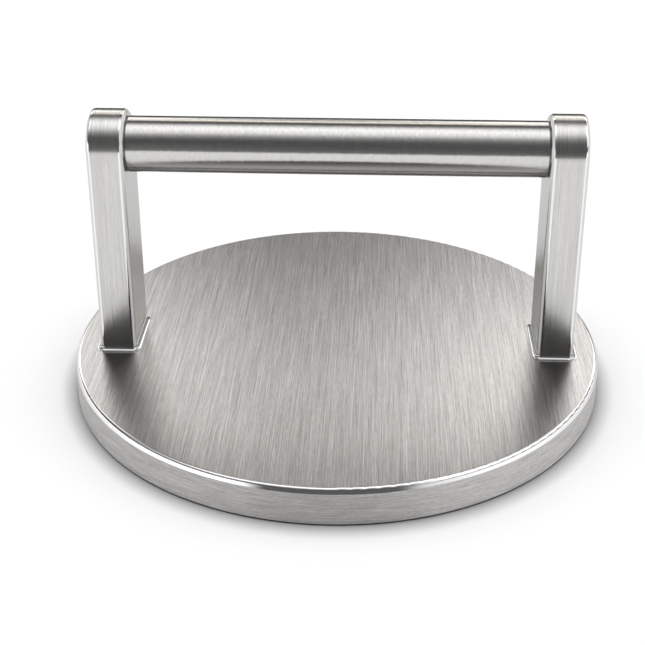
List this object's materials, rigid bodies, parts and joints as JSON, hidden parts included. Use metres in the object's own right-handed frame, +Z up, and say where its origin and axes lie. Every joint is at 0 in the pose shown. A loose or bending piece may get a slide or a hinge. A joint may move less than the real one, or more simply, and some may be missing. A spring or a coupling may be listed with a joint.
{
  "type": "smash burger press",
  "caption": "Round smash burger press: a thick brushed steel plate with welded flat-bar uprights and a horizontal tube handle between them.",
  "frame": {"origin": "centre of the plate's working face, on the surface that the press stands on", "axes": "+Z up from the working face through the handle, +X along the handle, +Y away from the viewer across the handle"},
  "size_m": [0.155, 0.155, 0.0825],
  "materials": {
    "plate_steel": "straight brushed top and working face, brushed rim, polished bevel",
    "bar_steel": "brushed lengthwise, polished edges",
    "weld_steel": "dressed and polished bright",
    "tube_steel": "brushed round the tube",
    "plug_steel": "turned",
    "screw_steel": "plain bright"
  },
  "bodies": {
    "root": {"base_plate": "plate_steel", "left_upright": "bar_steel", "right_upright": "bar_steel", "left_foot_weld": "weld_steel", "right_foot_weld": "weld_steel", "handle_tube": "tube_steel", "left_tube_plug": "plug_steel", "right_tube_plug": "plug_steel", "left_handle_screw": "screw_steel", "right_handle_screw": "screw_steel"}
  },
  "joints": []
}
